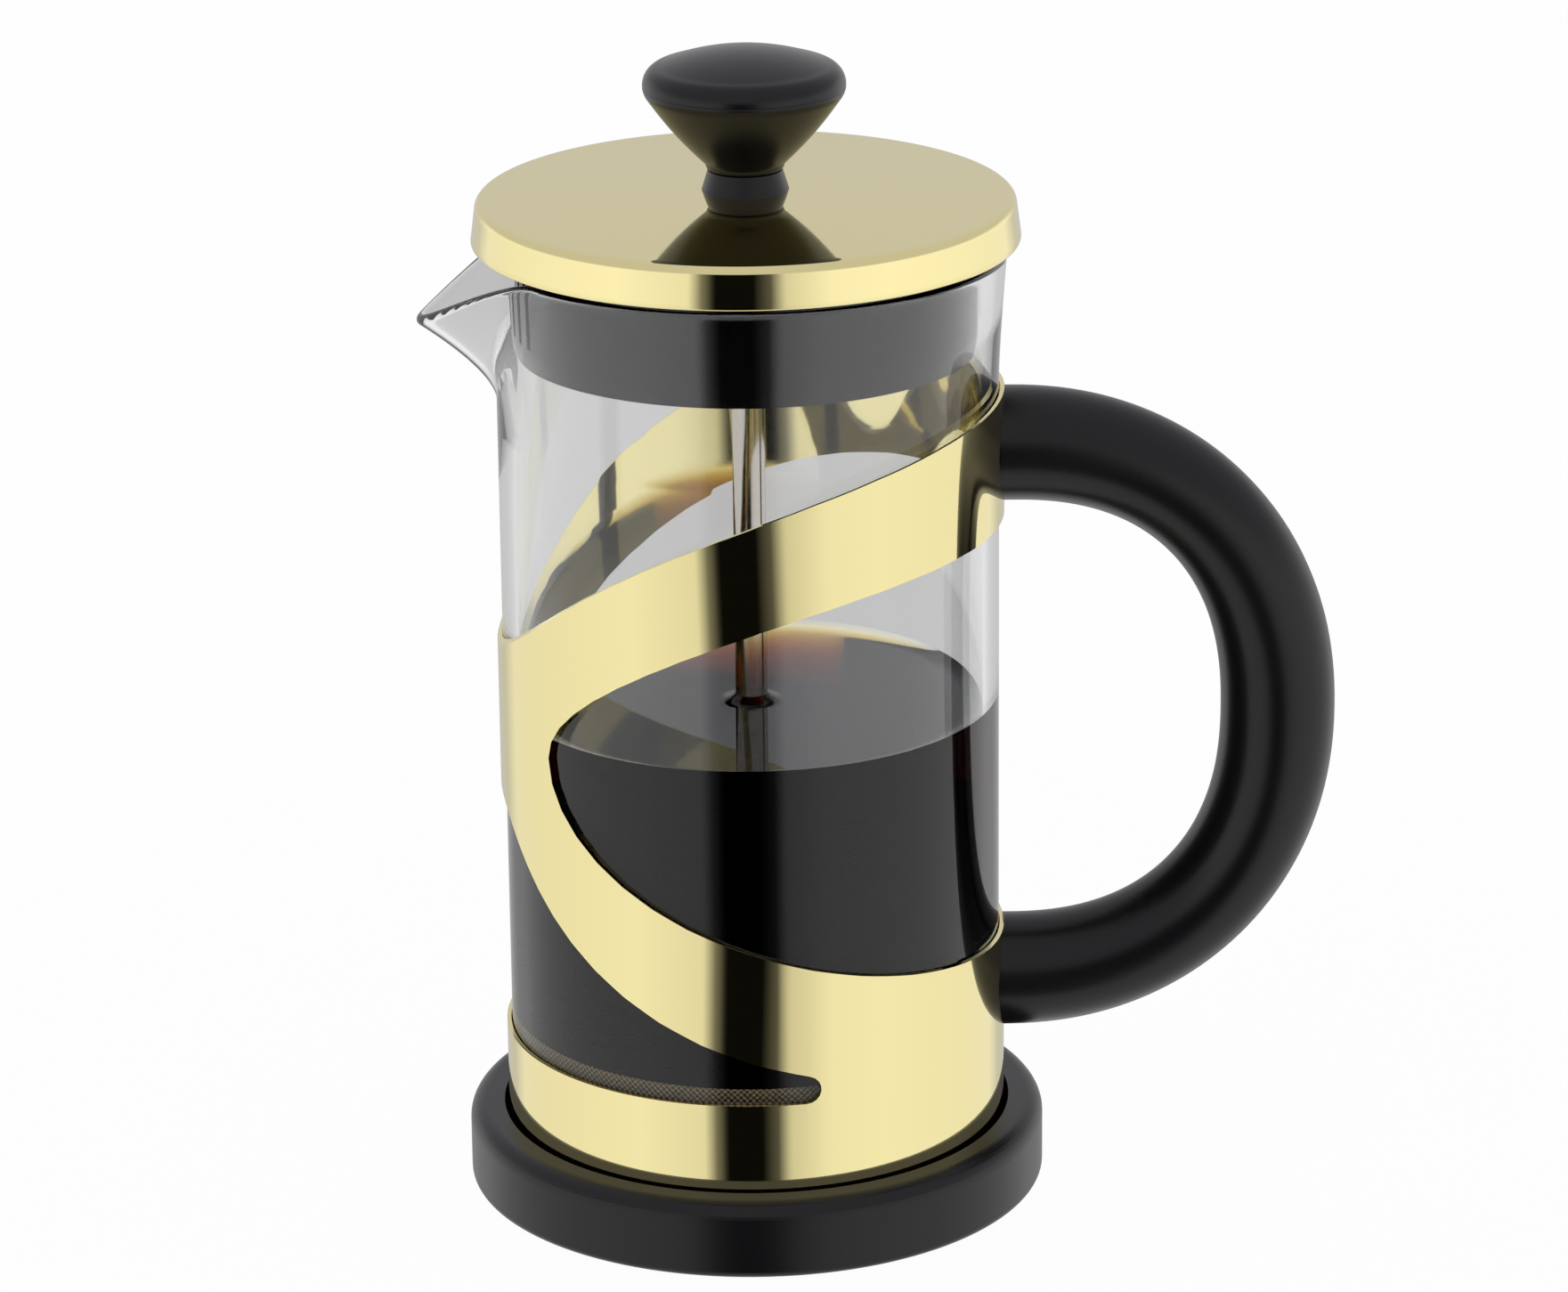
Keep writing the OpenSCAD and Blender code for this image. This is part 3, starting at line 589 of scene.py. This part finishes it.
class PRESS_OT_beaker(bpy.types.Operator):
    """Makes the glass beaker: a blown cylinder with a flared rim and a pulled spout"""

    bl_idname = "press.beaker"
    bl_label = "Glass beaker"

    def execute(self, context):
        sizes = context.scene.press_beaker
        foot, shoulder = low("glass_beaker", 2), rim_and_shoulder()[1]
        outside, (inside, floor_top) = straight_radius(), beaker_inside()
        # Columns crowd together towards the spout, where the form is tight
        turns = [2 * math.pi * i / 288 for i in range(288)]
        angles = [turn - 0.62 * math.sin(turn) for turn in turns]
        straight = [k / 12 for k in range(1, 12)]

        corner = (outside - sizes.corner, foot + sizes.corner)
        outer = [(0.3 * outside, foot), (0.6 * outside, foot)]
        outer += arc(corner, sizes.corner, -90, 0, 12)
        outer += [(outside, corner[1] + (shoulder - corner[1]) * share) for share in straight]

        # A ring of points stands where the coffee ends, so that the wet faces end there
        wet_top = sizes.fill + GLASS_CLIMB
        inner_corner = sizes.corner - sizes.wall
        corner = (inside - inner_corner, floor_top + inner_corner)
        heights = [corner[1] + (shoulder - corner[1]) * share for share in straight]
        heights = [height for height in heights if abs(height - sizes.fill) > 3 * MM] + [wet_top]
        inner = [(inside, height) for height in sorted(heights, reverse=True)]
        inner += arc(corner, inner_corner, 0, -90, 12)
        inner += [(0.6 * inside, floor_top), (0.3 * inside, floor_top)]

        rings = [[Vector((0, 0, foot))]]
        rings += [self.ring(radius, height, angles) for radius, height in outer]
        rings += self.upper_rings(sizes, angles)
        rings += [self.ring(radius, height, angles) for radius, height in inner]
        rings.append([Vector((0, 0, floor_top))])
        vertices, faces = skin(rings)
        glass = make_piece(
            "glass", vertices, faces, borosilicate_glass(), "beaker", ["glass_beaker"], "glass", sharp=0
        )

        def touches_coffee(centre):
            within = math.hypot(centre.x, centre.y) < inside + 0.5 * MM
            return within and floor_top - 0.1 * MM < centre.z < wet_top

        mark_wet(glass.data, touches_coffee)
        return {"FINISHED"}

    def ring(self, radius, height, angles):
        """A level ring of points, counted from the spout."""
        return [Vector((-radius * math.cos(a), -radius * math.sin(a), height)) for a in angles]

    def upper_rings(self, sizes, angles, rows=30):
        """Rings up the outer wall from the shoulder, over the lip's bead and down the inner wall."""
        grid = [[upper_wall(a, j / rows) for a in angles] for j in range(rows + 1)]
        columns = len(angles)

        def directions(i, j):
            """Outwards and upwards on the outer wall at a point of the grid."""
            across = grid[j][(i + 1) % columns] - grid[j][i - 1]
            up = grid[min(j + 1, rows)][i] - grid[max(j - 1, 0)][i]
            return across.cross(up).normalized(), up.normalized()

        rings = list(grid)
        bead = sizes.lip / 2
        for turn in (math.pi * k / 8 for k in range(1, 8)):
            ring = []
            for i in range(columns):
                out, up = directions(i, rows)
                middle = grid[rows][i] - out * bead
                ring.append(middle + bead * (math.cos(turn) * out + math.sin(turn) * up))
            rings.append(ring)
        # The wall thins to the lip over the first five eighths of its way up from the shoulder
        for j in range(rows, -1, -1):
            depth = sizes.wall + (sizes.lip - sizes.wall) * min(1, j / rows * 1.6)
            rings.append([grid[j][i] - directions(i, j)[0] * depth for i in range(columns)])
        return rings


class PRESS_OT_coffee(bpy.types.Operator):
    """Makes the coffee, which wets the glass and the rod and climbs a little at both"""

    bl_idname = "press.coffee"
    bl_label = "Coffee"

    def execute(self, context):
        sizes = context.scene.press_beaker
        inside, floor_top = beaker_inside()
        wide, deep = inside - WET_GAP, floor_top + WET_GAP
        corner, fill = sizes.corner - sizes.wall, sizes.fill
        rod = sizes.rod / 2 + WET_GAP
        # How far out from the wall and the rod the surface is still bent
        wall_reach, rod_reach = 3.2 * MM, 2.8 * MM
        outline = [(0, deep), (wide * 0.5, deep)]
        outline += arc((wide - corner, deep + corner), corner, -90, 0, 12)
        outline += [(wide, fill * share) for share in (0.4, 0.6, 0.8, 0.95)]
        for share in (k / 12 for k in range(13)):
            outline.append((wide - wall_reach * share, fill + GLASS_CLIMB * (1 - share) ** 2.6))
        outline += [(wide * share, fill) for share in (0.7, 0.5, 0.3, 0.18)]
        for share in (k / 10 for k in range(11)):
            outline.append((rod + rod_reach * (1 - share), fill + ROD_CLIMB * share**2.4))
        outline.append((0, fill + ROD_CLIMB))
        coffee = make_piece("coffee", *revolved(outline), brewed_coffee(), "beaker", sharp=40)
        mark_wet(coffee.data, lambda centre: centre.z < fill - 0.01 * MM)
        # A black core inside the coffee paints the shade of its depth
        self.make_painted_shade_core(wide, rod, fill)
        return {"FINISHED"}

    def make_painted_shade_core(self, wide, rod, fill):
        """No light comes back from the middle of the coffee, so a black core stands there as painted shade: a
        dark piece put where there is only shade.
        """
        radius, corner = wide - 9 * MM, 6 * MM
        bottom, top = high("filter_mesh", 2) + 3 * MM, fill - 13 * MM
        core = rounded([(rod, bottom, 0), (radius, bottom, corner), (radius, top, corner), (rod, top, 0)], 8)
        # The core's near-black colour is painted shade, not a colour the coffee has
        black = start_material(
            "painted shade inside the coffee", {"Base Color": (*linear("#010000"), 1), "Roughness": 1.0, "IOR": 1.0}
        )[0]
        make_piece("coffee_painted_shade", *revolved([*core, core[0]], 96), black, "beaker", sharp=0)


# ---------------------------------------------------------------- everything else


def thickened(outline, thickness):
    """The inner face of a sheet, from the outline of its outer face, which goes outwards and down."""
    points = [Vector(p) for p in outline]
    inner = []
    for i, point in enumerate(points):
        along = (points[min(i + 1, len(points) - 1)] - points[max(i - 1, 0)]).normalized()
        inner.append(point - Vector((-along.y, along.x)) * thickness)
    return inner


class PRESS_OT_lid(bpy.types.Operator):
    """Makes the lid's shell: one drawn sheet, slightly crowned, with a plain side and a rolled-in edge"""

    bl_idname = "press.lid"
    bl_label = "Lid shell"

    def execute(self, context):
        sizes = context.scene.press_lid
        top, rim = high("lid_shell", 2), low("lid_shell", 2)
        wide, shoulder = high("lid_shell", 0), high("lid_shell", 0) - sizes.taper
        corner, edge = sizes.corner, sizes.sheet / 2
        centre = (shoulder - corner, top - sizes.crown - corner)
        # The shell is flat round the collar, from its hole outwards, and then falls to the corner
        hole, flat = 4.1 * MM, 8 * MM
        bend = arc(centre, corner, 84, 4, 12)
        outline = [(hole, top), (6 * MM, top), (flat, top)]
        for share in (k / 20 for k in range(1, 20)):
            outline.append((flat + (bend[0][0] - flat) * share, top - (top - bend[0][1]) * share**1.5))
        outline += bend
        side_top = centre[1]
        for share in (k / 6 for k in range(1, 7)):
            outline.append((shoulder + (wide - shoulder) * share, side_top + (rim + edge - side_top) * share))
        inner = thickened(outline, sizes.sheet)
        middle = ((outline[-1][0] + inner[-1][0]) / 2, (outline[-1][1] + inner[-1][1]) / 2)
        closed = outline + arc(middle, edge, 0, -180, 8)[1:-1]
        closed += [tuple(p) for p in reversed(inner)]
        closed.append(closed[0])
        vertices, faces = revolved(closed[::-1], 256)
        make_piece(
            "lid_sheet", vertices, faces, gold_plated_steel(), "lid", ["lid_shell"], "gold_steel", sharp=50
        )
        return {"FINISHED"}


class PRESS_OT_metalwork(bpy.types.Operator):
    """Finishes the stand, lid, plunger and fasteners"""

    bl_idname = "press.metalwork"
    bl_label = "Metalwork"

    def execute(self, context):
        gold, steel, brass = gold_plated_steel(), polished_steel(), turned_brass()
        finish_node("frame", gold)
        for node in (
            "plunger_rod",
            "spiral_plate",
            "cross_plate",
            "hub_nut",
            "lid_nut",
            "base_screws",
            "upper_handle_screw",
            "lower_handle_screw",
        ):
            finish_node(node, steel)
        for node in ("knob_insert", "upper_handle_insert", "lower_handle_insert"):
            finish_node(node, brass)
        finish_node("filter_mesh", woven_mesh())
        self.make_spring(steel)
        return {"FINISHED"}

    def make_spring(self, steel):
        """The coil spring round the filter: close turns of wire, bent into a ring."""
        wire, coil_radius = 0.35 * MM, 1.6 * MM
        bottom, top = low("coil_spring", 2), high("coil_spring", 2)
        middle, coil = (bottom + top) / 2, (top - bottom) / 2 - wire
        ring = high("coil_spring", 0) - coil_radius
        turns, steps = 124, 10
        path = []
        for i in range(turns * steps):
            a = 2 * math.pi * i / (turns * steps)
            b = 2 * math.pi * i / steps
            reach = ring + coil * math.cos(b)
            path.append((reach * math.cos(a), reach * math.sin(a), middle + coil * math.sin(b)))
        vertices, faces = tube(path, [wire] * len(path), 6, closed=True)
        make_piece("coil_wire", vertices, faces, steel, "plunger", ["coil_spring"], "stainless", sharp=0)


class PRESS_OT_handle(bpy.types.Operator):
    """Makes the handle: one round black rod of plastic bent to a D, moulded in two halves"""

    bl_idname = "press.handle"
    bl_label = "Handle"

    def execute(self, context):
        sizes = context.scene.press_handle
        radius, power = sizes.thickness / 2, 2 / sizes.fullness
        top, bottom = high("handle", 2) - radius, low("handle", 2) + radius
        middle, half = (top + bottom) / 2, (top - bottom) / 2
        start, straight = low("handle", 0), sizes.straight
        rise = high("handle", 0) - radius - straight
        path = [(start + (straight - start) * k / 4, 0, top) for k in range(4)]
        for a in (math.pi / 2 - math.pi * k / 96 for k in range(97)):
            out, up = abs(math.cos(a)) ** power, math.copysign(abs(math.sin(a)) ** power, math.sin(a))
            path.append((straight + rise * out, 0, middle + half * up))
        path += [(straight + (start - straight) * k / 4, 0, bottom) for k in range(1, 5)]
        # Each bend is drawn a little thinner than the arms and the grip
        lengths = [0.0]
        for k in range(1, len(path)):
            lengths.append(lengths[-1] + (Vector(path[k]) - Vector(path[k - 1])).length)
        radii = [radius * (1 - sizes.waist * math.sin(2 * math.pi * s / lengths[-1]) ** 2) for s in lengths]
        vertices, faces = tube(path, radii, 64)
        # The arms' ends are scooped to sit on the round stand
        stand = high("frame", 1)
        for point in vertices:
            if abs(point.x - start) < 3 * MM:
                point.x = max(point.x, math.sqrt(max(0, stand**2 - point.y**2)))
        make_piece("handle_rod", vertices, faces, matt_black_plastic(), "stand", ["handle"], "black_plastic")
        return {"FINISHED"}


class PRESS_OT_knob(bpy.types.Operator):
    """Makes the knob: a cone with a rounded edge and a shallow dome, with its faint parting line"""

    bl_idname = "press.knob"
    bl_label = "Knob"

    def execute(self, context):
        foot, top, wide = low("knob", 2), high("knob", 2), high("knob", 0)
        bore, bore_top = 2.45 * MM, foot + 11.6 * MM
        edge, edge_height = 2.8 * MM, foot + 12.4 * MM
        neck = (5.7 * MM, foot + 0.9 * MM)
        dome, dome_rise = 12.2 * MM, 2.3 * MM
        outline = [(0, bore_top), (bore, bore_top), (bore, foot), (4.6 * MM, foot)]
        outline += arc((4.9 * MM, foot + 0.8 * MM), 0.8 * MM, -60, -20, 5)
        outline.append(neck)
        # The cone, a quarter of a millimetre fuller in the middle, runs into the rounded edge
        rounding = arc((wide - edge, edge_height), edge, -38, -6, 8)
        for share in (k / 12 for k in range(1, 12)):
            full = 0.25 * MM * math.sin(math.pi * share)
            across, up = rounding[0][0] - neck[0], rounding[0][1] - neck[1]
            outline.append((neck[0] + across * share + full, neck[1] + up * share - full))
        outline += rounding
        # The mould's parting line: a groove a tenth of a millimetre deep just under the widest ring
        groove = wide - 0.1 * MM
        outline += [(groove, edge_height - 0.18 * MM), (groove, edge_height - 0.08 * MM)]
        lead, follow = (wide, edge_height + 1.5 * MM), (13.6 * MM, edge_height + 2.7 * MM)
        outline += bezier((wide, edge_height), lead, follow, (dome, top - dome_rise), 12)
        for share in (1 - k / 16 for k in range(1, 17)):
            outline.append((dome * share, top - dome_rise * share**2))
        vertices, faces = revolved(outline, 160)
        satin = grained_plastic("satin black ABS", context.scene.press_finishes.black, 0.25, 0.5, 0.004)
        make_piece("knob_body", vertices, faces, satin, "plunger", ["knob"], "black_plastic", sharp=50)
        return {"FINISHED"}


class PRESS_OT_plastics(bpy.types.Operator):
    """Finishes the base, collar, liner and pad"""

    bl_idname = "press.plastics"
    bl_label = "Plastics"

    def execute(self, context):
        finishes = context.scene.press_finishes
        satin = grained_plastic("satin black ABS", finishes.black, 0.24, 0.5, 0.004)
        gloss = grained_plastic("glossy black polypropylene", finishes.gloss, 0.12, 2.0, 0.002, 0.5)
        rubber = grained_plastic("matt thermoplastic rubber", finishes.rubber, 0.75, 0.4, 0.03)
        finish_node("base", matt_black_plastic())
        finish_node("lid_collar", satin)
        finish_node("lid_liner", gloss)
        finish_node("grip_pad", rubber)
        return {"FINISHED"}


class PRESS_OT_stage(bpy.types.Operator):
    """Makes the pale floor, the studio surroundings and the camera"""

    bl_idname = "press.stage"
    bl_label = "Stage"

    def execute(self, context):
        settings = context.scene.press_stage
        data = bpy.data.cameras.new("camera")
        data.lens = settings.lens
        data.sensor_width = 36
        data.clip_end = 20
        camera = bpy.data.objects.new("camera", data)
        context.scene.collection.objects.link(camera)
        turn = (
            Matrix.Rotation(-settings.pan, 4, "Z")
            @ Matrix.Rotation(math.pi / 2 - settings.pitch, 4, "X")
            @ Matrix.Rotation(settings.roll, 4, "Z")
        )
        camera.matrix_world = Matrix.Translation((0, -settings.distance, settings.height)) @ turn
        context.scene.camera = camera
        context.scene.view_settings.view_transform = "Standard"
        # A path to the back band and out again crosses more glass than the usual limit lets through
        cycles = context.scene.cycles
        cycles.max_bounces = cycles.transmission_bounces = cycles.glossy_bounces = 32
        self.make_floor(context)
        self.make_surroundings(context, settings)
        return {"FINISHED"}

    def make_floor(self, context):
        """A pale floor that keeps the shadow; mirrors and glass look past it at the surroundings."""
        half = 6.0
        mesh = bpy.data.meshes.new("floor")
        mesh.from_pydata(
            [(-half, -half, 0), (half, -half, 0), (half, half, 0), (-half, half, 0)], [], [(0, 1, 2, 3)]
        )
        floor = bpy.data.objects.new("floor", mesh)
        context.scene.collection.objects.link(floor)
        floor.visible_glossy = False
        floor.visible_transmission = False
        material = bpy.data.materials.new("white seamless paper")
        material.use_nodes = True
        tree = material.node_tree
        tree.nodes.clear()
        # The camera sees mostly plain white there, and the rest is paper that takes the shadow
        white_share = 0.97
        rays = add_node(tree, "ShaderNodeLightPath")
        paper = add_node(tree, "ShaderNodeBsdfDiffuse", {"Color": (0.9, 0.9, 0.9, 1)})
        white = add_node(tree, "ShaderNodeEmission", {"Color": (1, 1, 1, 1), "Strength": 1.0})
        share = add_node(
            tree, "ShaderNodeMath", {0: rays.outputs["Is Camera Ray"], 1: white_share}, operation="MULTIPLY"
        )
        both = add_node(
            tree, "ShaderNodeMixShader", {0: share.outputs[0], 1: paper.outputs[0], 2: white.outputs[0]}
        )
        add_node(tree, "ShaderNodeOutputMaterial", {"Surface": both.outputs[0]})
        mesh.materials.append(material)

    def make_surroundings(self, context, settings):
        """A grey backdrop behind, a white panel at each side, and a dark gap in front between them."""
        world = bpy.data.worlds.new("studio")
        world.use_nodes = True
        context.scene.world = world
        tree = world.node_tree
        tree.nodes.clear()
        rays = add_node(tree, "ShaderNodeLightPath")
        towards = add_node(tree, "ShaderNodeTexCoord").outputs["Generated"]
        axes = add_node(tree, "ShaderNodeSeparateXYZ", {0: towards})
        ahead = add_node(tree, "ShaderNodeMath", {0: axes.outputs[1], 1: -1.0}, operation="MULTIPLY")
        angle = add_node(
            tree, "ShaderNodeMath", {0: axes.outputs[0], 1: ahead.outputs[0]}, operation="ARCTAN2"
        )
        turn = add_node(
            tree,
            "ShaderNodeMapRange",
            {"Value": angle.outputs[0], "From Min": -math.pi, "From Max": math.pi},
        )
        back, panel = settings.backdrop, settings.panels
        # Bearing from the front in degrees, negative to the left, and the brightness seen there
        bearings = (
            (-180, back * 0.97),
            (-150, back * 1.08),
            (-136, panel * 0.9),
            (-55, panel),
            (-24, panel * 0.86),
            (-18.5, 0.2),
            (-13.5, 0.004),
            (3, 0.004),
            (10, 0.1),
            (16, panel * 0.72),
            (35, panel * 0.98),
            (60, panel * 1.02),
            (138, panel * 0.94),
            (152, back * 1.08),
            (180, back * 0.97),
        )
        ramp = add_node(tree, "ShaderNodeValToRGB", {0: turn.outputs[0]})
        stops = ramp.color_ramp.elements
        while len(stops) < len(bearings):
            stops.new(0.5)
        for stop, (bearing, level) in zip(stops, bearings):
            stop.position = 0.5 + bearing / 360
            stop.color = (level, level, level, 1)
        # Straight below is the pale table, and above is the grey ceiling
        up = axes.outputs[2]
        below = add_node(tree, "ShaderNodeMapRange", {"Value": up, "From Min": -0.6, "From Max": -0.72})
        above = add_node(tree, "ShaderNodeMapRange", {"Value": up, "From Min": 0.1, "From Max": 0.3})
        table = add_node(
            tree,
            "ShaderNodeMix",
            {"Factor": below.outputs[0], "A": ramp.outputs[0], "B": (0.9, 0.9, 0.9, 1)},
            data_type="RGBA",
        )
        room = add_node(
            tree,
            "ShaderNodeMix",
            {"Factor": above.outputs[0], "A": table.outputs[2], "B": (0.59, 0.59, 0.62, 1)},
            data_type="RGBA",
        )
        # What is level with the press is a little brighter than what is low
        level = add_node(
            tree,
            "ShaderNodeMapRange",
            {"Value": up, "From Min": -0.3, "From Max": -0.1, "To Min": 1.0, "To Max": 1.1},
        )
        lit = add_node(
            tree, "ShaderNodeBackground", {"Color": room.outputs[2], "Strength": level.outputs[0]}
        )
        white = add_node(tree, "ShaderNodeBackground", {"Color": (1, 1, 1, 1), "Strength": 1.0})
        both = add_node(
            tree,
            "ShaderNodeMixShader",
            {0: rays.outputs["Is Camera Ray"], 1: lit.outputs[0], 2: white.outputs[0]},
        )
        add_node(tree, "ShaderNodeOutputWorld", {"Surface": both.outputs[0]})


OPERATORS = (
    PRESS_OT_stage,
    PRESS_OT_beaker,
    PRESS_OT_coffee,
    PRESS_OT_lid,
    PRESS_OT_handle,
    PRESS_OT_knob,
    PRESS_OT_metalwork,
    PRESS_OT_plastics,
)
GROUPS = {
    "press_beaker": BeakerSizes,
    "press_stand": StandSizes,
    "press_lid": LidSizes,
    "press_handle": HandleSizes,
    "press_finishes": Finishes,
    "press_stage": StageSettings,
}


class PRESS_PT_panel(bpy.types.Panel):
    """Lists the press's operators, sizes and colours"""

    bl_idname = "PRESS_PT_panel"
    bl_label = "French press"
    bl_space_type = "VIEW_3D"
    bl_region_type = "UI"
    bl_category = "French press"

    def draw(self, context):
        for operator in OPERATORS:
            self.layout.operator(operator.bl_idname)
        for name in GROUPS:
            box = self.layout.box()
            settings = getattr(context.scene, name)
            for key in settings.bl_rna.properties.keys():
                if key not in ("rna_type", "name"):
                    box.prop(settings, key)


def register():
    """Registers the property groups, the operators and the panel."""
    for group in GROUPS.values():
        bpy.utils.register_class(group)
    for name, group in GROUPS.items():
        setattr(bpy.types.Scene, name, PointerProperty(type=group))
    for operator in OPERATORS:
        bpy.utils.register_class(operator)
    bpy.utils.register_class(PRESS_PT_panel)


def unregister():
    """Takes out what register put in."""
    bpy.utils.unregister_class(PRESS_PT_panel)
    for operator in reversed(OPERATORS):
        bpy.utils.unregister_class(operator)
    for name in reversed(GROUPS):
        delattr(bpy.types.Scene, name)
    for group in reversed(GROUPS.values()):
        bpy.utils.unregister_class(group)


def main():
    """Makes every piece and the stage."""
    register()
    for operator in OPERATORS:
        group, name = operator.bl_idname.split(".")
        getattr(getattr(bpy.ops, group), name)()


if __name__ == "__main__":
    main()
